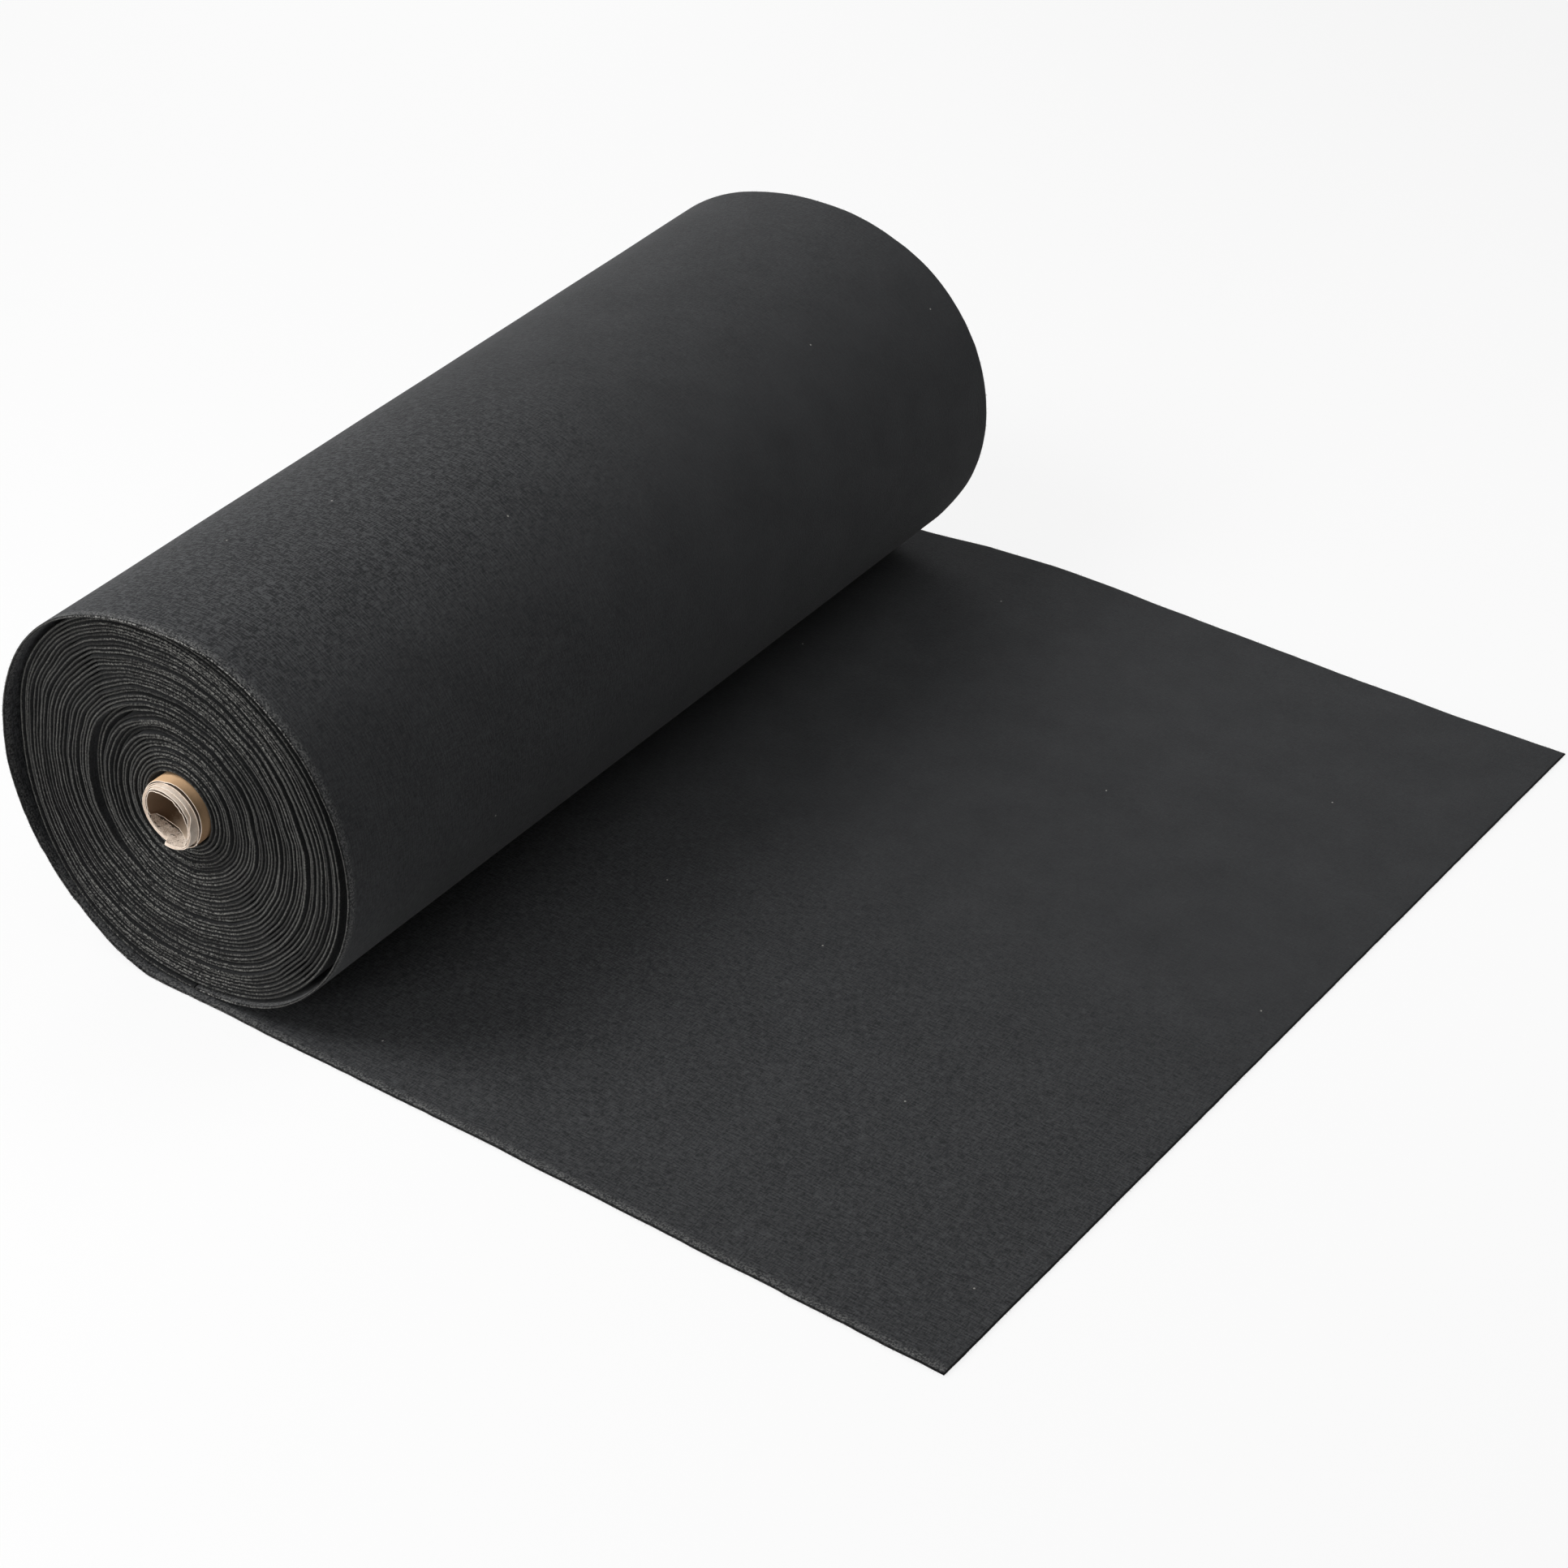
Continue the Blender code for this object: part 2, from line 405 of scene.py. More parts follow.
        # Painted shade: the web's sides just inside its cut edge darken towards cut_dark, in the
        # grooves between the turns.
        colour = nodes.mix(across.rise(0.016, 0.003) * self.groove_shade, colour, self.cut_dark)
        pilled = across.rise(0.010, 0.002) * speckle * self.edge_fuzz
        colour = nodes.mix(pilled, colour, self.pale_fibre_and_highlight)
        return nodes.mix(rim.rise(0.05, 0.5), colour, cut)

    def material(self) -> Finish:
        """Builds the finish.

        Returns:
            The material.
        """
        nodes = Surface(self.name)
        web = nodes.mesh_value("web", "Vector")
        along, across, _ = nodes.split(web)
        stretched = nodes.vector(along / self.streak_length, across / self.streak_width, 0.0)
        crossed = nodes.vector(along / self.streak_width, across / self.streak_length, 7.0)
        streak = nodes.noise(stretched, rough=0.6) * 0.6 + nodes.noise(crossed, rough=0.6) * 0.4
        fuzz = nodes.noise(nodes.place(), 1 / self.fuzz, 3, 0.65)
        colour = self.face_colour(nodes, web, streak, fuzz)
        return nodes.finish({
            "Base Color": self.cut_colour(nodes, web, colour),
            "Roughness": fuzz.rise(0.3, 0.7, 1.0, 0.86),
            "Specular IOR Level": 0.12, "Sheen Weight": 0.05, "Sheen Roughness": 0.45,
            "Normal": nodes.bump(fuzz * 0.7 + streak * 0.5, self.bump_depth),
        })


@dataclass(frozen=True)
class Paper:
    """Core paper: long grain round the tube, blotches, and torn fibres where it is cut, with painted
    shade in small tears.

    It is paler by lit towards the light, from one distance off the axis to another.
    """

    name: str
    pale: Colour
    deep: Colour
    grain: float = 0.0008
    blotch: float = 0.008
    contrast: float = 1.0
    roughness: float = 0.8
    bump_depth: float = 0.0002
    tear_scale: float = 330.0
    tears: float = 0.0
    light: Span = (-0.5, 0.87)
    lit: float = 0.0
    lit_from: float = -0.026
    lit_to: float = 0.030
    # Painted shade inside the small tears.
    tear_hole_shade: Colour = (0.05, 0.032, 0.022)

    def material(self) -> Finish:
        """Builds the finish.

        Returns:
            The material.
        """
        nodes = Surface(self.name)
        place = nodes.place()
        grain = nodes.noise(place, 1 / self.grain, 4, 0.7)
        blotch = nodes.noise(place, 1 / self.blotch, 2, 0.5)
        shade = 0.5 + (grain - 0.5) * 1.3 * self.contrast + (blotch - 0.5) * 0.7 * self.contrast
        x, _, z = nodes.split(place)
        lit = toward(x, z - AXIS_HEIGHT, self.light)
        shade = shade + (lit.rise(self.lit_from, self.lit_to) - 0.5) * self.lit
        colour = nodes.mix(shade.rise(0.0, 1.0), self.deep, self.pale)
        # Painted shade: dark spots where the noise marks small tears.
        torn = nodes.noise(place, self.tear_scale, 2, 0.5).rise(0.61, 0.65) * self.tears
        return nodes.finish({
            "Base Color": nodes.mix(torn, colour, self.tear_hole_shade),
            "Roughness": grain.rise(0.2, 0.8, 0.95, self.roughness),
            "Normal": nodes.bump(grain, self.bump_depth),
        })


@dataclass(frozen=True)
class StudioFloor:
    """The pale floor, which keeps a soft shadow and looks white to the camera."""

    name: str = "studio_floor"
    colour: Colour = (0.86, 0.86, 0.86)
    white_share: float = 0.86

    def material(self) -> Finish:
        """Builds the finish.

        Returns:
            The material.
        """
        nodes = Surface(self.name)
        glow = nodes.node("ShaderNodeEmission", {"Color": (1, 1, 1, 1), "Strength": 1.0})
        seen = nodes.seen_ray() * self.white_share
        mixed = nodes.node("ShaderNodeMixShader", {0: seen, 1: nodes.shader.outputs[0], 2: glow})
        nodes.feed(nodes.tree.nodes["Material Output"].inputs["Surface"], mixed)
        return nodes.finish({"Base Color": (*self.colour, 1), "Roughness": 1.0})


def link_object(name: str, data: bpy.types.ID) -> Piece:
    """Puts a mesh, a lamp or a camera in the scene as an object at the origin."""
    piece = bpy.data.objects.new(name, data)
    bpy.context.scene.collection.objects.link(piece)
    return piece


def store(mesh: bpy.types.Mesh, name: str, kind: str, values: np.ndarray) -> None:
    """Writes a point attribute, of kind FLOAT or FLOAT_VECTOR."""
    layer = mesh.attributes.new(name, kind, "POINT")
    field = "vector" if kind == "FLOAT_VECTOR" else "value"
    layer.data.foreach_set(field, np.ascontiguousarray(values, np.float32).ravel())


def smooth_mesh(
    name: str, points: np.ndarray, faces: list[tuple[int, ...]], sharp_degrees: float
) -> bpy.types.Mesh:
    """Makes a smooth mesh.

    Args:
        name: Its name.
        points: Its points.
        faces: The numbers of each face's points.
        sharp_degrees: Its edges stay sharp where they turn by more than this.

    Returns:
        The mesh.
    """
    mesh = bpy.data.meshes.new(name)
    mesh.from_pydata(points.tolist(), [], faces)
    mesh.shade_smooth()
    mesh.set_sharp_from_angle(angle=math.radians(sharp_degrees))
    return mesh


def eased(value: np.ndarray, start: float, end: float) -> np.ndarray:
    """Goes smoothly from 0 to 1 as value goes from start to end, which may be the smaller."""
    share = np.clip((value - start) / (end - start), 0, 1)
    return share * share * (3 - 2 * share)


def wander(points: np.ndarray, spacing: float, seed: float) -> np.ndarray:
    """Smooth noise from -1 to 1 at each point.

    Args:
        points: Places, as an array that ends in 3 numbers.
        spacing: Metres from bump to bump.
        seed: Moves the noise, so that two uses differ.

    Returns:
        The noise, in the shape of points without its last axis.
    """
    flat = points.reshape(-1, 3) / spacing
    found = [noise.noise(Vector((p[0] + seed, p[1], p[2]))) for p in flat]
    return np.array(found).reshape(points.shape[:-1])


def scalloped(run: np.ndarray, seed: float) -> np.ndarray:
    """How far a cut edge wavers, at so many metres along the web."""
    line = np.stack([run, run * 0, run * 0], axis=-1)
    waver = WAVER_DEPTH * wander(line, WAVER_SPACING, seed)
    return waver + NICK_DEPTH * wander(line, NICK_SPACING, seed + 5)


def settled(degrees: np.ndarray, table: Table) -> np.ndarray:
    """How far the loose cloth stands out at each angle, smoothed from a table in millimetres."""
    angles, stand = np.array(table).T
    shifts = np.linspace(-6, 6, 7)
    return np.mean([np.interp(degrees + s, angles, stand) for s in shifts], axis=0) / 1000


def edged_steps(length: float, spacing: float) -> np.ndarray:
    """Shares from 0 to 1 at an even spacing, with a closer step inside each end."""
    inner = np.linspace(0, 1, max(int(length / spacing), 2) + 1)[1:-1]
    lips = np.array(LIP_STEPS) / length
    return np.concatenate([[0], lips, inner, 1 - lips[::-1], [1]])


def cloth(
    name: str, middle: np.ndarray, along: np.ndarray, across: np.ndarray, fray: float,
    felt: Finish, cut_rows: tuple[int, ...] = (),
) -> Piece:
    """A closed sheet of cloth about its middle surface, with rounded, slightly frayed edges.

    Args:
        name: The piece's name.
        middle: Points of the middle surface, as steps along, steps across and 3.
        along: Metres along the web at each point.
        across: Metres across the web at each point.
        fray: How far the cut edge stands out or in.
        felt: The cloth's finish.
        cut_rows: Which of the two ends, 0 or -1, are cut. The other ones are flat, for the
            next stretch of the web to meet.

    Returns:
        The piece, with the attributes "web" and "rim".
    """
    rows, columns = middle.shape[:2]
    up = np.cross(np.gradient(middle, axis=0), np.gradient(middle, axis=1))
    up /= np.linalg.norm(up, axis=2, keepdims=True)
    border = np.zeros((rows, columns), bool)
    border[list(cut_rows), :] = border[:, [0, -1]] = True
    half = up * np.where(border, EDGE_THINNING, 1.0)[..., None] * WEB_THICKNESS / 2

    ring = [(i, 0) for i in range(rows)]
    ring += [(rows - 1, j) for j in range(1, columns)]
    ring += [(i, columns - 1) for i in range(rows - 2, -1, -1)]
    ring += [(0, j) for j in range(columns - 2, 0, -1)]
    ring_i, ring_j = np.array(ring).T
    edge = middle[ring_i, ring_j]
    first, last = int(0 in cut_rows), rows - 1 - int(-1 in cut_rows)
    outward = edge - middle[np.clip(ring_i, first, last), np.clip(ring_j, 1, columns - 2)]
    outward /= np.maximum(np.linalg.norm(outward, axis=1, keepdims=True), 1e-9)
    reach = WEB_THICKNESS * LIP_SHARE + fray * wander(edge, FRAY_SPACING, 3.1)
    is_cut = border[ring_i, ring_j]
    lip = edge + outward * (reach * is_cut)[:, None]

    under, lip_start = rows * columns, 2 * rows * columns
    faces = []
    for i in range(rows - 1):
        for j in range(columns - 1):
            a = i * columns + j
            quad = (a, a + columns, a + columns + 1, a + 1)
            faces += [quad, tuple(under + v for v in reversed(quad))]
    edges = (ring_i * columns + ring_j).tolist()
    for k, a in enumerate(edges):
        after = (k + 1) % len(edges)
        b = edges[after]
        faces.append((a, lip_start + k, lip_start + after, b))
        faces.append((lip_start + k, under + a, under + b, lip_start + after))
    shells = [(middle + half).reshape(-1, 3), (middle - half).reshape(-1, 3)]
    mesh = smooth_mesh(name, np.concatenate([*shells, lip]), faces, 80)

    metres = np.stack([along, across, np.zeros_like(along)], axis=2)
    flat = metres.reshape(-1, 3)
    store(mesh, "web", "FLOAT_VECTOR", np.concatenate([flat, flat, metres[ring_i, ring_j]]))
    at_border = np.where(border, EDGE_RIM, 0.0).ravel()
    store(mesh, "rim", "FLOAT", np.concatenate([at_border, at_border, is_cut * 1.0]))
    mesh.materials.append(felt)
    return link_object(name, mesh)


def grown(
    name: str, tree: Tree, sizes: Sizes, material: Finish,
    host: bpy.types.Mesh | None = None,
) -> Piece:
    """Runs a geometry tree once and keeps the result as a plain mesh.

    Args:
        name: The new piece's name.
        tree: The geometry tree.
        sizes: Its inputs, by their plain names.
        material: The result's finish.
        host: The mesh that the tree starts from, if any.

    Returns:
        The new piece, without a modifier.
    """
    given = {**sizes, "Material": material}
    piece = link_object(name, host or bpy.data.meshes.new(name))
    modifier = piece.modifiers.new(name, "NODES")
    modifier.node_group = tree
    for item in tree.interface.items_tree:
        if item.in_out == "INPUT" and item.name in given:
            modifier[item.identifier] = given[item.name]
    depsgraph = bpy.context.evaluated_depsgraph_get()
    made = bpy.data.meshes.new_from_object(
        piece.evaluated_get(depsgraph), preserve_all_data_layers=True, depsgraph=depsgraph
    )
    piece.modifiers.remove(modifier)
    piece.data = made
    made.name = name
    return piece


class GrowthTree(Nodes):
    """A geometry tree with named inputs, whose result ends in real geometry with a material."""

    KINDS = {float: "NodeSocketFloat", int: "NodeSocketInt"}

    def __init__(self, name: str, sizes: Sizes) -> None:
        """Starts the tree.

        Args:
            name: The tree's name.
            sizes: Its inputs' names, each with a number of the kind that it takes.
        """
        super().__init__(bpy.data.node_groups.new(name, "GeometryNodeTree"))
        kinds = {title: self.KINDS[type(size)] for title, size in sizes.items()}
        kinds = {"Geometry": "NodeSocketGeometry", **kinds, "Material": "NodeSocketMaterial"}
        sockets = self.tree.interface.new_socket
        for title, kind in kinds.items():
            sockets(name=title, in_out="INPUT", socket_type=kind)
        sockets(name="Geometry", in_out="OUTPUT", socket_type="NodeSocketGeometry")
        self.source = self.tree.nodes.new("NodeGroupInput")

    def given(self, name: str) -> Value:
        """One of the tree's inputs."""
        return Value(self, self.source.outputs[name])

    def kept(self, geometry: Any, name: str, kind: str, value: Any) -> Socket:
        """Stores a named point attribute on geometry and returns the geometry."""
        sockets = {"Geometry": geometry, "Name": name, "Value": value}
        return self.node(
            "GeometryNodeStoreNamedAttribute", sockets, data_type=kind, domain="POINT"
        )

    def stored(self, name: str) -> Value:
        """Reads a named number of the geometry."""
        sockets = {"Name": name}
        return Value(self, self.node("GeometryNodeInputNamedAttribute", sockets, data_type="FLOAT"))

    def position(self) -> Socket:
        """Where each point of the geometry is."""
        return self.node("GeometryNodeInputPosition")

    def moved(self, geometry: Any, **how: Socket) -> Socket:
        """Geometry whose points are set to a Position or moved by an Offset."""
        return self.node("GeometryNodeSetPosition", {"Geometry": geometry, **how})

    def finish(self, geometry: Any) -> Tree:
        """Ends the tree.

        Args:
            geometry: What the tree has made.

        Returns:
            The tree.
        """
        real = self.node("GeometryNodeRealizeInstances", {0: geometry})
        smooth = self.node("GeometryNodeSetShadeSmooth", {0: real})
        sockets = {"Geometry": smooth, "Material": self.given("Material")}
        dressed = self.node("GeometryNodeSetMaterial", sockets)
        self.feed(self.tree.nodes.new("NodeGroupOutput").inputs[0], dressed)
        return self.tree


@dataclass
class Fuzz:
    """Loose fibres that stand out of the felt's cut edges."""

    spacing_area: float = 2.2e-6
    length: float = 0.0022
    root_radius: float = 0.00007
    bend: float = 0.35
    tilt: float = 0.9
    least_scale: float = 0.35
    most_scale: float = 1.15
    seed: int = 4

    def sizes(self, share: float = 1.0) -> Sizes:
        """The tree's inputs, for fibres that stand at a share of their usual closeness."""
        return {
            "Density": share / self.spacing_area, "Length": self.length,
            "Root Radius": self.root_radius, "Bend": self.bend, "Tilt": self.tilt,
            "Seed": self.seed,
        }

    def tree(self) -> Tree:
        """Builds the tree that plants fibres on a mesh where its "rim" is above a half.

        Returns:
            The tree.
        """
        nodes = GrowthTree("edge_fibres", self.sizes())
        given = nodes.given
        planted = nodes.node(
            "GeometryNodeDistributePointsOnFaces",
            {"Mesh": given("Geometry"), "Selection": nodes.stored("rim").over(0.5),
             "Density": given("Density"), "Seed": given("Seed")},
            distribute_method="RANDOM",
        )
        spike = nodes.node(
            "GeometryNodeMeshCone",
            {"Vertices": 3, "Side Segments": 2, "Radius Top": 0.0,
             "Radius Bottom": given("Root Radius"), "Depth": given("Length")},
            fill_type="NGON",
        )
        height = nodes.split(nodes.position())[2]
        sway = height * height / given("Length") * given("Bend")
        bent = nodes.moved(spike, Offset=nodes.vector(sway, 0.0, 0.0))
        tilt = given("Tilt")
        least = nodes.vector(-1 * tilt, -1 * tilt, -math.pi)
        lean = nodes.node(
            "FunctionNodeRandomValue",
            {0: least, 1: nodes.vector(tilt, tilt, math.pi), "Seed": given("Seed")},
            data_type="FLOAT_VECTOR",
        )
        turned = nodes.node(
            "FunctionNodeRotateRotation",
            {"Rotation": planted.node.outputs["Rotation"], "Rotate By": lean},
            rotation_space="LOCAL",
        )
        scale = nodes.node(
            "FunctionNodeRandomValue",
            {2: self.least_scale, 3: self.most_scale, "Seed": given("Seed") + 1},
            output=1, data_type="FLOAT",
        )
        fibres = nodes.node(
            "GeometryNodeInstanceOnPoints",
            {"Points": planted, "Instance": bent, "Rotation": turned, "Scale": scale},
        )
        real = nodes.node("GeometryNodeRealizeInstances", {0: fibres})
        x, y, z = nodes.split(nodes.position())
        lifted = nodes.vector(x, y, nodes.math("MAXIMUM", z, given("Root Radius")))
        return nodes.finish(nodes.moved(real, Position=lifted))

    def on(
        self, host: Piece, name: str, tree: Tree,
        material: Finish, share: float = 1.0,
    ) -> Piece:
        """Grows the fibres of one piece.

        Args:
            host: The piece whose cut edges carry them.
            name: The new piece's name.
            tree: The fibre tree.
            material: Their finish.
            share: How close they stand, as a share of the usual.

        Returns:
            The fibres, as one mesh.
        """
        return grown(name, tree, self.sizes(share), material, host.data)


@dataclass
class LaidSheet:
    """The stretch of the web that lies on the ground, from under the roll to its cut free end.

    The spans say where a change starts and ends: in metres along the sheet, or for hump_across
    in shares of the way across it.
    """

    touchdown_width: float = 0.998
    near_length: float = 0.763
    far_length: float = 0.822
    near_drift: float = 0.0347
    far_drift: float = 0.0177
    spacing: float = 0.008
    fray: float = 0.00025
    hump_height: float = 0.007
    hump_place: float = 0.27
    hump_length: float = 0.13
    hump_across: Span = (0.45, 1.0)
    hump_along: Span = (0.06, 0.20)
    far_bow: float = 0.0112
    bow_rise: Span = (0.0, 0.19)
    bow_fall: Span = (0.76, 0.40)
    spread_fade: Span = (0.0, 0.42)
    ripple: float = 0.0005
    ripple_spacing: float = 0.11
    ripple_along: Span = (0.12, 0.22)
    travel: float = 0.70

    def middle(self) -> tuple[np.ndarray, np.ndarray, np.ndarray]:
        """Middle surface of the sheet.

        Returns:
            Its points, and the metres along and across the web at each.
        """
        down = edged_steps(self.far_length, self.spacing)[:, None]
        across = edged_steps(self.touchdown_width, self.spacing)[None, :]
        start = -FAR_LEAN * across
        end = self.near_length + (self.far_length - self.near_length) * across
        x = start + (end - start) * down
        run = x + TURN_LENGTH
        low = -self.touchdown_width / 2 - self.near_drift * down + scalloped(run, NEAR_SEED)
        low -= NEAR_SPREAD * (1 - eased(x, *self.spread_fade))
        bow = self.far_bow * eased(x, *self.bow_rise) * eased(x, *self.bow_fall)
        high = self.touchdown_width / 2 - self.far_drift * down + bow + scalloped(run, FAR_SEED)
        y = low + (high - low) * across
        away = (x - self.hump_place) / self.hump_length
        hump = self.hump_height * np.exp(-away * away) * eased(across, *self.hump_across)
        flat = np.stack([x, y, np.zeros_like(x)], axis=2)
        ripple = self.ripple * (1 + wander(flat, self.ripple_spacing, 5.0))
        ripple *= eased(x, *self.ripple_along)
        flat[..., 2] = WEB_THICKNESS / 2 + hump * eased(x, *self.hump_along) + ripple
        return flat, run, np.broadcast_to(across * self.touchdown_width, x.shape)

    def build(self, felt: Finish) -> Piece:
        """Builds the sheet in its finish."""
        return cloth("felt_sheet", *self.middle(), self.fray, felt, (-1,))

    def draw_in(self, piece: Piece) -> None:
        """Puts a piece on the sheet's body, with a mesh of its own."""
        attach(piece, Body.SHEET.value)
        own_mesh(piece)


@dataclass
class OuterTurn:
    """The loose outermost turn, which comes over the roll and down on its left to the ground.

    The spans say at which degrees round the roll a change starts and ends. The slack tables
    give the millimetres that each end of the turn stands out of a plain ellipse at an angle.
    """

    width: float = 0.964
    near_y: float = -0.499
    touchdown_far_y: float = 0.499
    underside: float = 0.0027
    half_height: float = 0.180
    near_half_width: float = 0.188
    far_belly: float = 0.0215
    start_degrees: float = -89.5
    end_degrees: float = 270.0
    ease_degrees: float = -60.0
    start_recess: float = 0.0035
    widening_degrees: float = 150.0
    settling_degrees: float = 228.0
    spread_rise: Span = (215, 265)
    steps: int = 240
    spacing: float = 0.018
    fray: float = 0.0003
    ripple: float = 0.0004
    ripple_radius: float = 0.18
    ripple_spacing: float = 0.14
    ripple_rise: Span = (-80, -20)
    ripple_fall: Span = (262, 212)
    near_slack: Table = (
        (-90, 0), (-78, 0), (-62, 2), (-45, 0.7), (-28, 0.2), (0, 1.4), (20, 3.3), (42, 6.0),
        (66, 6.0), (76, 4.0), (88, -0.6), (108, -1.2), (124, 1.0), (140, -0.4), (153, -2.7),
        (168, -5.0), (182, -5.6), (200, -3.8), (212, -2.0), (225, 0.6), (240, 3.8), (250, 5.2),
        (262, 4.6), (270, 1.0),
    )
    far_slack: Table = (
        (-90, 0), (-80, 1.4), (-70, 6), (-60, 11), (-54, 13), (-48, 12.5), (-37, 6), (-26, 4.2),
        (-17, 2.0), (-4, 0), (10, -0.8), (24, 0.2), (34, 1.6), (48, 2.0), (60, 0), (72, -1.2),
        (88, -3.6), (104, -3.8), (120, -1.3), (150, 0), (270, 0),
    )

    def swell(self, degrees: np.ndarray, across: np.ndarray) -> np.ndarray:
        """How far the turn stands out of its plain ellipse.

        Args:
            degrees: The angle of each row.
            across: The share of the way across at each column.

        Returns:
            The metres at each point.
        """
        angle = np.radians(degrees)
        ring = (np.cos(angle) * self.ripple_radius, across * self.width,
                np.sin(angle) * self.ripple_radius)
        places = np.stack(np.broadcast_arrays(*ring), axis=2)
        swell = self.ripple * (1 + wander(places, self.ripple_spacing, 1.7))
        swell *= eased(degrees, *self.ripple_rise) * eased(degrees, *self.ripple_fall)
        near, far = (settled(degrees, table) for table in (self.near_slack, self.far_slack))
        return swell + near * (1 - across) + far * across

    def middle(self) -> tuple[np.ndarray, np.ndarray, np.ndarray]:
        """Middle surface of the turn.

        Returns:
            Its points, and the metres along and across the web at each.
        """
        share = np.linspace(0, 1, self.steps + 1)[:, None]
        degrees = self.start_degrees + (self.end_degrees - self.start_degrees) * share
        angle = np.radians(degrees)
        across = edged_steps(self.width, self.spacing)[None, :]
        swell = self.swell(degrees, across)
        inside = WEB_THICKNESS / 2
        half_width = self.near_half_width - inside + self.far_belly * across
        x = (half_width + swell) * np.cos(angle) - FAR_LEAN * across
        settle = self.underside * eased(degrees, self.settling_degrees, self.end_degrees)
        height = self.half_height - inside + swell
        z = self.underside + self.half_height + height * np.sin(angle) - settle
        z = np.maximum(z, inside + (self.underside - settle))
        widening = eased(degrees, self.widening_degrees, self.end_degrees)
        far = self.near_y + self.width + (self.touchdown_far_y - self.near_y - self.width) * widening
        recess = 1 - eased(degrees, self.start_degrees, self.ease_degrees)
        near = self.near_y + self.start_recess * recess
        near -= NEAR_SPREAD * eased(degrees, *self.spread_rise)
        run = share * TURN_LENGTH + across * 0
        near = near + scalloped(run, NEAR_SEED)
        y = near + (far + scalloped(run, FAR_SEED) - near) * across
        return np.stack([x, y, z], axis=2), run, across * self.width + angle * 0

    def build(self, felt: Finish) -> Piece:
        """Builds the turn in its finish."""
        return cloth("felt_outer_turn", *self.middle(), self.fray, felt)


